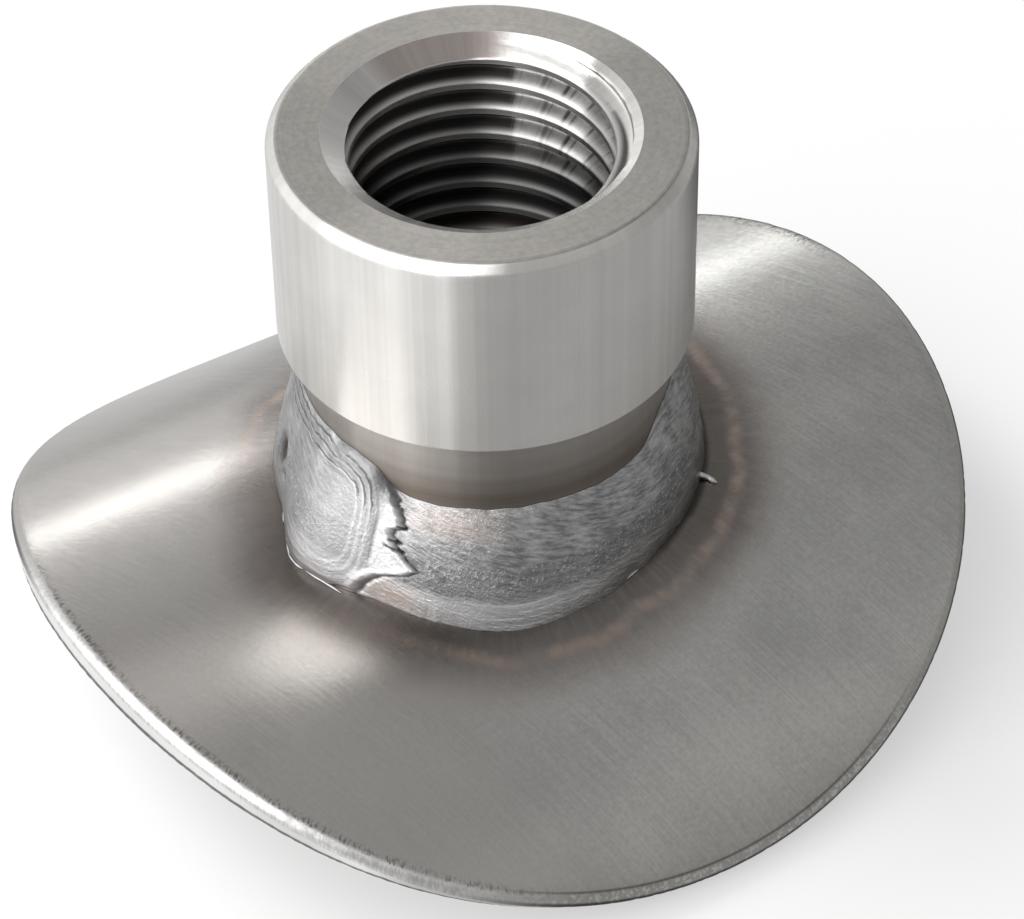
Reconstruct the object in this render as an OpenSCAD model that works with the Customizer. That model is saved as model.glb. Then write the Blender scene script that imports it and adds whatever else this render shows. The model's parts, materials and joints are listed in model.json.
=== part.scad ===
// Weld bung: a threaded boss standing on a bent saddle plate, held by one fillet weld.
// The pipe that the saddle fits runs along X, and the boss stands along Z.
// The lowest points of the plate's rim lie on Z = 0, below the boss axis.

/* [Boss] */
// Diameter of the turned head
head_d = 20; // [18.5:0.5:28]
// Height of the head, from its shoulder to the top face
head_h = 11.1; // [6:0.1:25]
// Diameter of the neck that goes through the plate
neck_d = 18; // [15:0.1:19.4]
// Height of the shoulder above the plate's crest
neck_h = 8.7; // [7:0.1:16]
// Bevel on the head's upper edge
top_bevel = 0.45; // [0.1:0.05:1]
// Bevel on the head's lower edge
shoulder_bevel = 0.15; // [0.05:0.05:0.25]
// Bevel inside the neck's lower end
end_bevel = 0.6; // [0.2:0.1:1.2]

/* [Thread] */
// Nominal diameter of the thread
thread_d = 14; // [10:1:16]
// Pitch of the thread
thread_pitch = 1.5; // [0.75:0.25:2]
// Diameter of the countersink at the top face
sink_d = 14.9; // [14.2:0.1:18]
// Angle across the countersink
sink_angle = 120; // [80:5:140]

/* [Saddle plate] */
// Outside diameter of the pipe that the saddle fits
pipe_d = 60; // [48:1:150]
// Thickness of the sheet
sheet_t = 1.5; // [0.8:0.1:3]
// Length of the flat blank, along the pipe
blank_l = 47; // [36:0.5:80]
// Width of the flat blank, round the pipe
blank_w = 49.2; // [36:0.2:60]
// Width of the rounding that shearing leaves on the upper edge
roll_w = 0.6; // [0.2:0.1:1]
// Depth of that rounding
roll_d = 0.35; // [0.1:0.05:0.5]
// Gap between the neck and the hole in the plate
hole_gap = 0.05; // [0.02:0.01:0.2]

/* [Weld] */
// Height of the weld on the neck, above the plate's crest
weld_rise = 5.9; // [3:0.1:6.5]
// Width of the weld on the plate
weld_run = 1.65; // [1:0.05:4]
// Crown of the weld over a straight fillet
weld_crown = 0.3; // [0:0.05:0.8]
// How much lower the weld is where the run starts
start_drop = 1.65; // [0:0.05:2]
// Extra width of the weld where the run starts
start_run = 0.8; // [0:0.1:1.5]
// Extra width of the lap where the run ends on its own start
lap_run = 1.5; // [0:0.1:2]
// Extra crown of the lap
lap_crown = 0.4; // [0:0.05:0.8]
// Direction from the boss axis to the middle of the start
start_az = -106; // [-180:1:180]
// Angle from there to the middle of the lap
lap_turn = -62; // [-120:1:-45]

/* [Hidden] */

// Roundness of the turned faces
$fn = 180;

// Depth of an internal thread as a share of its pitch, and the bore left inside it
thread_depth_share = 1.0825;
bore_r = (thread_d - thread_depth_share * thread_pitch) / 2;
head_r = head_d / 2;
neck_r = neck_d / 2;
sink_r = sink_d / 2;
sink_depth = (sink_r - bore_r) / tan(sink_angle / 2);

// Bent sheet: radii round the pipe's axis, and the turn from the crest to the low rim
in_r = pipe_d / 2;
out_r = in_r + sheet_t;
mid_r = in_r + sheet_t / 2;
rim_turn = (blank_w / 2) / mid_r * 180 / PI;

// Heights over the ground
axis_z = -in_r * cos(rim_turn);
crest_z = axis_z + out_r;
neck_end_z = axis_z + in_r;
shoulder_z = crest_z + neck_h;
top_z = shoulder_z + head_h;

// Steps round the rim and over its rolled edge
rim_steps = 120;
roll_steps = 3;
// How far the trimming shapes stand clear of the sheet
trim_clear = 0.3;

// Steps round the weld, up its face and along its foot
weld_steps = 96;
face_steps = 7;
foot_steps = 3;
// Half width of the low stretch, and softness of its ends
start_half = 46;
start_soft = 3;
// Spread of the lap, and how far its blunt end lies from its middle
lap_spread = 14;
lap_end = 22;
lap_soft = 2.5;
lap_az = start_az + lap_turn;
// Thin gap left under the weld, so that the pieces only touch
weld_gap = 0.01;

// Value part way from one number to another
function mix(from, to, part) = from + (to - from) * part;

// Angle from one direction to another, from -180 to 180
function turn_to(a, b) = (a - b + 900) % 360 - 180;

// Smooth hill round one direction
function hill(a, centre, spread) = exp(-pow(turn_to(a, centre) / spread, 2));

// Level top over a stretch of directions, with soft ends
function stretch(a, centre, half, soft) = 1 / (1 + exp((abs(turn_to(a, centre)) - half) / soft));

// Share of the lap in one direction: blunt where the run ends, fading the other way
function lap(a) =
    let (turn = turn_to(a, lap_az))
    turn > 0 ? 1 / (1 + exp((turn - lap_end) / lap_soft)) : hill(a, lap_az, 2 * lap_spread);

// Point of the blank's rim after bending, at radius rho and some way in from the edge
function rim_point(t, rho, inset) =
    let (turn = (blank_w / 2 - inset) * sin(t) / mid_r * 180 / PI)
    [(blank_l / 2 - inset) * cos(t), rho * sin(turn), axis_z + rho * cos(turn)];

// Faces between one closed ring of points and the next
function band_faces(first, second, count) = [
    for (i = [0 : count - 1])
        let (n = (i + 1) % count)
        each [[first + i, second + i, second + n], [first + i, second + n, first + n]]
];

// Height of the sheet's upper face at some distance from the crest line
function sheet_z(y) = axis_z + sqrt(pow(out_r + weld_gap, 2) - y * y);

// Weld sizes in one direction from the boss axis
function weld_top(a) = crest_z + weld_rise - start_drop * stretch(a, start_az, start_half, start_soft);
function weld_toe(a) =
    neck_r + weld_run + lap_run * hill(a, lap_az, lap_spread)
    + start_run * hill(a, start_az + lap_turn / 2, start_half / 2);
function weld_swell(a) = weld_crown + lap_crown * lap(a);

// Radius that keeps the flat facets of the weld's bore outside the neck
weld_bore_r = (neck_r + weld_gap) / cos(180 / weld_steps);

// Weld section in one direction: up its bore, out over its face, then back along its foot
function weld_section(a) =
    let (
        toe_r = weld_toe(a),
        rise = weld_top(a) - sheet_z(toe_r * sin(a)),
        run = toe_r - weld_bore_r,
        slope = atan2(run, rise)
    )
    concat(
        [
            for (i = [0 : face_steps])
                let (
                    k = i / face_steps,
                    swell = weld_swell(a) * 4 * k * (1 - k),
                    r = weld_bore_r + run * k + swell * cos(slope)
                )
                [r * cos(a), r * sin(a), weld_top(a) - rise * k + swell * sin(slope)]
        ],
        [
            for (i = [1 : foot_steps])
                let (r = mix(toe_r, weld_bore_r, i / foot_steps))
                [r * cos(a), r * sin(a), sheet_z(r * sin(a))]
        ]
    );

// Radius and inset of the rolled edge, from its lower end at 0 to its upper end at 90 degrees
function roll_level(q) = [out_r - roll_d * (1 - sin(q)), roll_w * (1 - cos(q))];

// Solid of the blank's outline carried square to the sheet, with the upper edge rolled over
module bent_outline() {
    last = roll_level(90 - 90 / roll_steps);
    top = roll_level(90);
    past = trim_clear / (top[0] - last[0]);
    levels = concat(
        [[in_r - trim_clear, 0]],
        [for (k = [0 : roll_steps - 1]) roll_level(90 * k / roll_steps)],
        [top + (top - last) * past]
    );
    rings = [
        for (level = levels)
            for (i = [0 : rim_steps - 1])
                rim_point(i * 360 / rim_steps, level[0], level[1])
    ];
    bands = len(levels) - 1;
    top_ring = bands * rim_steps;
    low_end = len(rings);
    high_end = low_end + 1;
    ends = [
        [0, 0, axis_z + levels[0][0] * cos(rim_turn)],
        [0, 0, axis_z + levels[bands][0] / cos(rim_turn)]
    ];
    polyhedron(
        points = concat(rings, ends),
        faces = concat(
            [for (j = [0 : bands - 1]) each band_faces(j * rim_steps, (j + 1) * rim_steps, rim_steps)],
            [for (i = [0 : rim_steps - 1]) [low_end, i, (i + 1) % rim_steps]],
            [for (i = [0 : rim_steps - 1]) [high_end, top_ring + (i + 1) % rim_steps, top_ring + i]]
        ),
        convexity = 4
    );
}

// Cylinder along the pipe's axis, longer than the blank
module pipe_round(r) {
    translate([0, 0, axis_z])
        rotate([0, 90, 0])
            cylinder(r = r, h = blank_l + 2 * trim_clear, center = true);
}

// Turned boss: head, shoulder and neck round one bore
module threaded_boss() {
    color("#bdbdba")
        rotate_extrude()
            polygon([
                [bore_r + end_bevel, neck_end_z],
                [neck_r, neck_end_z],
                [neck_r, shoulder_z],
                [head_r - shoulder_bevel, shoulder_z],
                [head_r, shoulder_z + shoulder_bevel],
                [head_r, top_z - top_bevel],
                [head_r - top_bevel, top_z],
                [sink_r, top_z],
                [bore_r, top_z - sink_depth],
                [bore_r, neck_end_z + end_bevel]
            ]);
}

// Round sheet blank, bent to the pipe, with the hole for the neck
module saddle_plate() {
    color("#8f8c88")
        difference() {
            intersection() {
                difference() {
                    pipe_round(out_r);
                    pipe_round(in_r);
                }
                bent_outline();
            }
            cylinder(r = neck_r + hole_gap, h = crest_z + trim_clear);
        }
}

// Fillet weld round the neck, following the bent plate
module weld_bead() {
    size = face_steps + 1 + foot_steps;
    points = [
        for (i = [0 : weld_steps - 1])
            each weld_section(i * 360 / weld_steps)
    ];
    color("#a7a8aa")
        polyhedron(
            points = points,
            faces = [
                for (i = [0 : weld_steps - 1])
                    each band_faces(i * size, ((i + 1) % weld_steps) * size, size)
            ],
            convexity = 6
        );
}

threaded_boss();
saddle_plate();
weld_bead();
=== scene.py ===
"""Looks of the weld bung: a turned boss with its thread, the bent saddle plate and the fillet weld."""

import json
import math

import bmesh
import bpy
import numpy as np
from bpy.props import FloatProperty, FloatVectorProperty, IntProperty, PointerProperty
from mathutils import Matrix, Vector


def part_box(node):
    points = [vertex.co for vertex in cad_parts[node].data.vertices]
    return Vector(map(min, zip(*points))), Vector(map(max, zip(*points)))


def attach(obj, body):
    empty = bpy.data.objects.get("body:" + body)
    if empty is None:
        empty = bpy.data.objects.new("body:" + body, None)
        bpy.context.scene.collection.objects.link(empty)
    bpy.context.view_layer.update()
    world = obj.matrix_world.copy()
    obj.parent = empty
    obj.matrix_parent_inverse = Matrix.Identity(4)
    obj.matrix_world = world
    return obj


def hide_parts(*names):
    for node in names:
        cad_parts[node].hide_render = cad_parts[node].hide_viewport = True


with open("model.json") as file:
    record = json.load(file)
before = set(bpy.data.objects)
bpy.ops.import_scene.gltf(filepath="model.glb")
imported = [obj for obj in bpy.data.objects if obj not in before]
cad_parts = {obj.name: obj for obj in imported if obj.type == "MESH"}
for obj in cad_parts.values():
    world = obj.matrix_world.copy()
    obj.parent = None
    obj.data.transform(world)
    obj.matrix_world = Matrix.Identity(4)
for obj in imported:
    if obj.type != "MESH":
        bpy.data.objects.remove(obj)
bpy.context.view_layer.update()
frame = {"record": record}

bl_info = {
    "name": "Weld bung",
    "version": (1, 0, 0),
    "blender": (4, 5, 0),
    "location": "View3D > Sidebar > Weld bung",
    "description": "Builds the boss, the saddle plate, the weld and a plain studio round them",
    "category": "Object",
}

MM = 0.001

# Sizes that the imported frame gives
BOSS_LOW, BOSS_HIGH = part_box("threaded_boss")
PLATE_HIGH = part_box("saddle_plate")[1]
MOUNTS = {mount["name"]: mount for mount in frame["record"]["mounts"]}
BORE_R = MOUNTS["sensor_thread"]["dims"]["r_mm"] * MM
CREST_Z = PLATE_HIGH.z

# Weld, in degrees round the neck: spread of the lap, spread and half width of the start, softness of its ends
LAP_SPREAD, START_SPREAD, START_HALF, START_SOFT = 14, 23, 46, 3
# Drops of spatter, in degrees round the neck: middle and half width of the side that they lie on
DROPS_AT, DROPS_SPREAD = 80, 80
# Mean radius of the weld's face, and half length of the lap's nested ripples, in millimetres
FACE_R, LAP_HALF = 10.5, 3.3
# Gaps that keep the weld off the plate and off the neck
FOOT_GAP, BORE_GAP = 0.01 * MM, 0.02 * MM
# Plate: points round its rim, rings down its rolled and its sheared edge, first seed of their unevenness
RIM_STEPS, ROLL_STEPS, SHEAR_STEPS, RIM_SEED = 720, 8, 10, 11

# Studio: place and sensor width of the camera, and middle of the object
CAMERA_AT = (-0.070794, -0.123202, 0.142682)
SENSOR_W = 36
MIDDLE = Vector((0, 0, 0.015))
# Floor: height, half width, and how much of its own colour the camera sees
FLOOR_Z, FLOOR_HALF, FLOOR_SHARE = -1e-5, 3.0, 0.38


def length(name, description, default):
    """Property for a length in metres."""
    return FloatProperty(name=name, description=description, default=default, precision=5,
                         unit="LENGTH", subtype="DISTANCE")


def colour(name, description, default):
    """Property for a linear colour."""
    return FloatVectorProperty(name=name, description=description, default=default, size=3,
                               min=0, max=1, subtype="COLOR")


def angle(name, description, degrees):
    """Property for an angle."""
    return FloatProperty(name=name, description=description, default=math.radians(degrees),
                         unit="ROTATION", subtype="ANGLE")


def share(name, description, default):
    """Property for a share from 0 to 1."""
    return FloatProperty(name=name, description=description, default=default, min=0, max=1,
                         subtype="FACTOR")


class BossSettings(bpy.types.PropertyGroup):
    """Turned boss and its thread."""

    head_r: length("Head radius", "Radius of the turned head", BOSS_HIGH.x)
    top_z: length("Top", "Height of the top face", BOSS_HIGH.z)
    low_z: length("Lower end", "Height of the neck's lower end", BOSS_LOW.z)
    shoulder_z: length("Shoulder", "Height of the shoulder under the head", CREST_Z + 8.7 * MM)
    neck_r: length("Neck radius", "Radius of the neck below the head", 9 * MM)
    top_bevel: length("Top bevel", "Bevel on the head's upper edge", 0.45 * MM)
    low_bevel: length("Shoulder bevel", "Bevel on the head's lower edge", 0.15 * MM)
    end_bevel: length("End bevel", "Bevel inside the neck's lower end", 0.6 * MM)
    bore_r: length("Bore radius", "Radius of the bore at the thread's crests", BORE_R)
    root_r: length("Root radius", "Radius at the bottom of the thread's grooves", 7 * MM)
    pitch: length("Pitch", "Rise of the thread in one turn", 1.5 * MM)
    sink_r: length("Countersink radius", "Radius of the countersink at the top face", 7.45 * MM)
    sink_half: angle("Countersink half angle", "Angle of the countersink to the axis", 60)
    columns: IntProperty(name="Columns", description="Faces round the axis", default=160, min=24)
    rows: IntProperty(name="Rows a turn", description="Rows of faces in one pitch", default=32, min=16)
    steel: colour("Steel", "Bright turned steel", (0.80, 0.785, 0.76))
    face: colour("Top face", "Steel of the faced top, a little duller", (0.47, 0.45, 0.42))
    # Countersink colour, used only on its side towards 78 degrees: warmer, and darker there as painted shade
    sink: colour("Countersink", "Steel on the countersink, a little warmer", (0.44, 0.385, 0.36))
    crest: colour("Thread crests", "Steel on the thread's crests", (0.60, 0.59, 0.58))
    # Thread grooves: painted near black, as painted shade
    groove: colour("Thread grooves", "Steel in the thread's upper grooves", (0.095, 0.09, 0.088))
    # On the neck this brown is heat tint, darkened as painted shade under the head's overhang
    tint: colour("Heat tint", "Brown of the neck and of the bore's lower half", (0.125, 0.092, 0.068))


class PlateSettings(bpy.types.PropertyGroup):
    """Bent saddle plate."""

    pipe_r: length("Pipe radius", "Outside radius of the pipe that the saddle fits", 30 * MM)
    sheet_t: length("Sheet", "Thickness of the sheet", 1.5 * MM)
    crest_z: length("Crest", "Height of the sheet's highest line", CREST_Z)
    half_l: length("Half length", "Half of the blank's length along the pipe", PLATE_HIGH.x)
    half_w: length("Half width", "Half of the flat blank's width round the pipe", 24.57 * MM)
    hole_r: length("Hole radius", "Radius of the hole for the neck", 9.05 * MM)
    roll_w: length("Rolled width", "Width of the rounding on the upper edge", 0.6 * MM)
    roll_d: length("Rolled depth", "Depth of that rounding", 0.35 * MM)
    nick: length("Nick", "Depth of the nicks along the sheared edge", 0.04 * MM)
    grain: angle("Grain", "Direction of the rolling grain, from the pipe's axis", -65)
    steel: colour("Sheet", "Satin sheet steel", (0.505, 0.50, 0.48))
    sheared: colour("Sheared edge", "Bright steel of the sheared edge", (0.87, 0.865, 0.855))
    burnt: colour("Burnt", "Dark oxide beside the weld", (0.15, 0.135, 0.12))
    ring: colour("Tint ring", "Pink-brown ring of the heat tint", (0.37, 0.305, 0.268))
    scorched: colour("Scorched", "Brown oxide outside the tint ring", (0.165, 0.143, 0.133))
    straw: colour("Straw", "Faint warm tint outside the ring", (0.475, 0.45, 0.43))


class WeldSettings(bpy.types.PropertyGroup):
    """Fillet weld round the neck."""

    rise: length("Rise", "Height of the weld on the neck above the plate's crest", 5.9 * MM)
    run: length("Run", "Width of the weld on the plate", 1.65 * MM)
    crown: length("Crown", "Crown of the weld over a straight fillet", 0.3 * MM)
    start_drop: length("Start drop", "How much lower the weld is where the run starts", 1.65 * MM)
    start_run: length("Start width", "Extra width where the run starts", 0.8 * MM)
    lap_run: length("Lap width", "Extra width of the lap", 1.5 * MM)
    lap_rise: length("Lap height", "Height of the lap over the start of the run", 0.4 * MM)
    ripple: length("Ripple", "Height of the ripples", 0.06 * MM)
    ripple_step: length("Ripple step", "Distance between ripples", 0.37 * MM)
    start_az: angle("Start", "Direction of the middle of the start", -106)
    lap_az: angle("Lap", "Direction of the middle of the lap", -168)
    end_az: angle("End", "Direction of the blunt end of the lap", -148)
    columns: IntProperty(name="Columns", description="Faces round the neck", default=900, min=90)
    rows: IntProperty(name="Rows", description="Rows of faces up the weld", default=90, min=10)
    drops: IntProperty(name="Drops", description="Drops of spatter behind the weld", default=4, min=0)
    seed: IntProperty(name="Seed", description="Seed of the weld's unevenness", default=7)
    bright: colour("Lap metal", "Silvery metal of the lap", (0.70, 0.70, 0.71))
    dull: colour("Start metal", "Darker metal of the start", (0.42, 0.42, 0.425))
    warm: colour("Warm spot", "Pinkish metal beside the lap", (0.60, 0.51, 0.465))
    stain: colour("Stain", "Brownish metal along the start's far toe", (0.27, 0.255, 0.235))
    # Painted shade in cracks, creases, pits and at the toe
    crevice_shade: colour("Soot", "Dark metal in cracks and at the toe", (0.07, 0.065, 0.06))


class StageSettings(bpy.types.PropertyGroup):
    """Floor, lamps and camera."""

    floor: colour("Floor", "Plain pale floor", (0.88, 0.88, 0.88))
    floor_glow: share("Floor glow", "Share of plain white in the floor that the camera sees", 0.5)
    key: FloatProperty(name="Key", description="Brightness of the left softbox", default=2.4, min=0)
    strip: FloatProperty(name="Strip", description="Brightness of the strip behind", default=5.1, min=0)
    floor_light: FloatProperty(name="Floor light", default=10.0, min=0,
                               description="Brightness of the softbox that only the floor shows")
    lens: FloatProperty(name="Lens", description="Focal length on a 36 mm sensor, in millimetres",
                        default=138.18, min=10)
    pitch: angle("Pitch", "How far the camera looks down", 43.13)
    heading: angle("Heading", "Turn of the view from the Y axis towards X", 30.352)
    roll: angle("Roll", "Roll of the camera", -0.862)


class Wire:
    """One socket in a node tree. Arithmetic on it adds Math nodes to that tree."""

    def __init__(self, tree, socket=None):
        self.tree = tree
        self.socket = socket

    @staticmethod
    def pick(sockets, name):
        """Socket with that place, identifier or name."""
        if isinstance(name, int):
            return sockets[name]
        for socket in sockets:
            if socket.identifier == name:
                return socket
        return sockets[name]

    def make(self, kind, settings=None, sockets=None, out=0):
        """Adds a node: its settings first, then the values or links of its sockets."""
        node = self.tree.nodes.new(kind)
        for name, value in (settings or {}).items():
            if name == "stops":
                for i, (place, shade) in enumerate(value):
                    stop = node.color_ramp.elements[i] if i < 2 else node.color_ramp.elements.new(place)
                    stop.position = place
                    stop.color = (*shade, 1)
            else:
                setattr(node, name, value)
        for name, value in (sockets or {}).items():
            socket = self.pick(node.inputs, name)
            if isinstance(value, Wire):
                self.tree.links.new(value.socket, socket)
            else:
                socket.default_value = value
        return Wire(self.tree, self.pick(node.outputs, out) if node.outputs else None)

    def also(self, out):
        """Another output of the node that this one comes from."""
        return Wire(self.tree, self.pick(self.socket.node.outputs, out))

    def math(self, operation, *values):
        """Math node on some values."""
        return self.make("ShaderNodeMath", {"operation": operation}, dict(enumerate(values)))

    def __add__(self, other):
        return self.math("ADD", self, other)

    def __radd__(self, other):
        return self.math("ADD", other, self)

    def __sub__(self, other):
        return self.math("SUBTRACT", self, other)

    def __rsub__(self, other):
        return self.math("SUBTRACT", other, self)

    def __mul__(self, other):
        return self.math("MULTIPLY", self, other)

    def __rmul__(self, other):
        return self.math("MULTIPLY", other, self)

    def __truediv__(self, other):
        return self.math("DIVIDE", self, other)

    def __rtruediv__(self, other):
        return self.math("DIVIDE", other, self)

    def __abs__(self):
        return self.math("ABSOLUTE", self)

    def least(self, other):
        """Smaller of two values."""
        return self.math("MINIMUM", self, other)

    def most(self, other):
        """Larger of two values."""
        return self.math("MAXIMUM", self, other)

    def between(self, low, high):
        """0 below low, 1 above high and a smooth rise from one to the other."""
        return self.make("ShaderNodeMapRange", {"interpolation_type": "SMOOTHSTEP"},
                         {"Value": self, "From Min": low, "From Max": high})

    def near(self, centre, spread):
        """Smooth hill round one value."""
        return 1 - abs(self - centre).between(0, spread)

    def tinted(self, first, second):
        """Colour between two colours, with this value, held from 0 to 1, as the share of the second."""
        ends = [value if isinstance(value, Wire) else (*value, 1) for value in (first, second)]
        return self.make("ShaderNodeMix", {"data_type": "RGBA"},
                         {"Factor_Float": self, "A_Color": ends[0], "B_Color": ends[1]}, "Result_Color")

    def vector(self, x, y, z):
        """Vector from three values."""
        return self.make("ShaderNodeCombineXYZ", None, {0: x, 1: y, 2: z})

    def noise(self, place, size, detail=2.0, rough=0.5):
        """Even noise from 0 to 1 with grains of about that size."""
        return self.make("ShaderNodeTexNoise", None,
                         {"Vector": place, "Scale": 1 / size, "Detail": detail, "Roughness": rough}, "Fac")

    def relief(self, height, depth, under=None):
        """Normal of a bumpy surface, with its depth in metres."""
        links = {"Strength": 1.0, "Distance": depth, "Height": height}
        if under is not None:
            links["Normal"] = under
        return self.make("ShaderNodeBump", None, links)


def greys(levels):
    """Stops of a ramp of greys, from their places and levels."""
    return [(place, (level, level, level)) for place, level in levels]


def toned(metal, level):
    """Colour made darker or lighter by one factor."""
    return tuple(level * part for part in metal)


def toward(x, y, degrees):
    """How far a direction round the boss's axis points one way: 1 along it and -1 against it."""
    return x * math.cos(math.radians(degrees)) + y * math.sin(math.radians(degrees))


def in_mm(start):
    """Object coordinates in millimetres: the vector, and its x, y and z."""
    place = start.make("ShaderNodeTexCoord", None, None, "Object")
    place = start.make("ShaderNodeVectorMath", {"operation": "SCALE"}, {0: place, "Scale": 1 / MM})
    x = start.make("ShaderNodeSeparateXYZ", None, {0: place}, "X")
    return place, x, x.also("Y"), x.also("Z")


def measure(start, name):
    """Value that the piece's mesh carries under that name."""
    return start.make("ShaderNodeAttribute", {"attribute_name": name}, None, "Fac")


def steel_finish(name, dress, **fixed):
    """Metal material: dress gives what varies over the surface, and the rest is set on the shader."""
    material = bpy.data.materials.new(name)
    material.use_nodes = True
    material.node_tree.nodes.clear()
    start = Wire(material.node_tree)
    sockets = {"Metallic": 1.0, **fixed, **dress(start)}
    shader = start.make("ShaderNodeBsdfPrincipled", None, sockets, "BSDF")
    start.make("ShaderNodeOutputMaterial", None, {"Surface": shader})
    return material


def turned_steel(boss):
    """Bright turned steel with fine lathe lines, a dark thread with painted shade down the bore and painted
    glints, painted shade on one side of the countersink, and a heat-tinted neck with painted shade under the
    head.
    """
    top, shoulder = boss.top_z / MM, boss.shoulder_z / MM
    sink_r, root, bore, neck_r = (v / MM for v in (boss.sink_r, boss.root_r, boss.bore_r, boss.neck_r))
    sink_z = top - (sink_r - bore) / math.tan(boss.sink_half)

    def dress(start):
        place, x, y, z = in_mm(start)
        r = start.math("SQRT", x * x + y * y)
        lathe = start.vector(r, 0.0, z)
        spoke = start.vector(x / r * neck_r, y / r * neck_r, 0.0)
        lines = start.noise(lathe, 0.09, 3.0, 0.65)
        bands = start.noise(lathe, 0.8, 2.0)
        chatter = start.noise(spoke, 0.55, 3.0, 0.6)
        behind = toward(x / r, y / r, 78).between(0.84, 0.95) * (0.65 + 0.5 * chatter)
        cloud = start.noise(place, 3.2, 3.0)
        specks = start.noise(place, 0.3, 3.0)
        on_top = z.between(top - 0.06, top - 0.02) * r.between(sink_r - 0.02, sink_r + 0.03)
        in_sink = (1 - r.between(sink_r - 0.02, sink_r + 0.01)) * z.between(sink_z - 0.05, sink_z + 0.05)
        in_bore = (1 - r.between(root + 0.05, root + 0.1)) * (1 - z.between(sink_z - 0.05, sink_z + 0.05))
        on_neck = (1 - z.between(shoulder - 0.05, shoulder)) * r.between(neck_r - 1, neck_r - 0.5)
        on_wall = r.between(neck_r + 0.4, neck_r + 0.6) * (1 - on_top)
        deep = 1 - z.between(top - 14, top - 9.5)
        heat = on_neck * (0.95 - 0.45 * z.between(shoulder - 5, shoulder))
        steel = (cloud * 0.4 + chatter * 0.6).between(0.3, 0.7).tinted(
            toned(boss.steel, 0.93), toned(boss.steel, 1.06))
        face = (0.5 * lines + 0.5 * specks).between(0.3, 0.7).tinted(
            toned(boss.face, 0.8), toned(boss.face, 1.1))
        steel = (on_top * 0.9).tinted(steel, face)
        # Painted shade: warmer, darker steel on the countersink's side towards 78 degrees
        steel = (in_sink * behind).tinted(steel, boss.sink)
        # Painted shade: grooves painted near black, and grooves and crests painted darker down the bore
        groove = z.between(top - 9, top - 2).tinted(toned(boss.groove, 0.3), boss.groove)
        crest = z.between(top - 7.5, top - 1.6).tinted(toned(boss.crest, 0.2), boss.crest)
        groove = r.between(bore + 0.04, bore + 0.42).tinted(crest, groove)
        # Painted glints: light patches on the upper part of the thread's wall towards 17 degrees
        patches = toward(x / r, y / r, 17).between(0.85, 0.89) * chatter.between(0.36, 0.5)
        patches = patches * (0.5 + 0.8 * specks) * z.between(top - 7.5, top - 4.5)
        groove = (patches * 0.8).tinted(groove, boss.crest)
        steel = in_bore.tinted(steel, groove)
        steel = (in_bore * deep * 0.85).tinted(steel, toned(boss.tint, 0.7))
        # Heat tint on the neck, strongest near the weld; its darkness is also painted shade under the head
        steel = (heat * (0.75 + 0.35 * bands)).tinted(steel, boss.tint)
        rough = 0.26 + 0.05 * (bands - 0.5) + 0.06 * (chatter - 0.5)
        rough = rough + 0.05 * on_top - 0.08 * in_sink + 0.04 * in_bore + 0.11 * on_neck
        normal = start.relief(lines, 0.0022 * MM)
        normal = start.relief(specks * (1 - on_wall), 0.004 * MM, normal)
        return {"Base Color": steel, "Roughness": rough, "Normal": normal}

    return steel_finish("turned_steel", dress, Anisotropic=0.95, **{"Anisotropic Rotation": 0.25})


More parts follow.
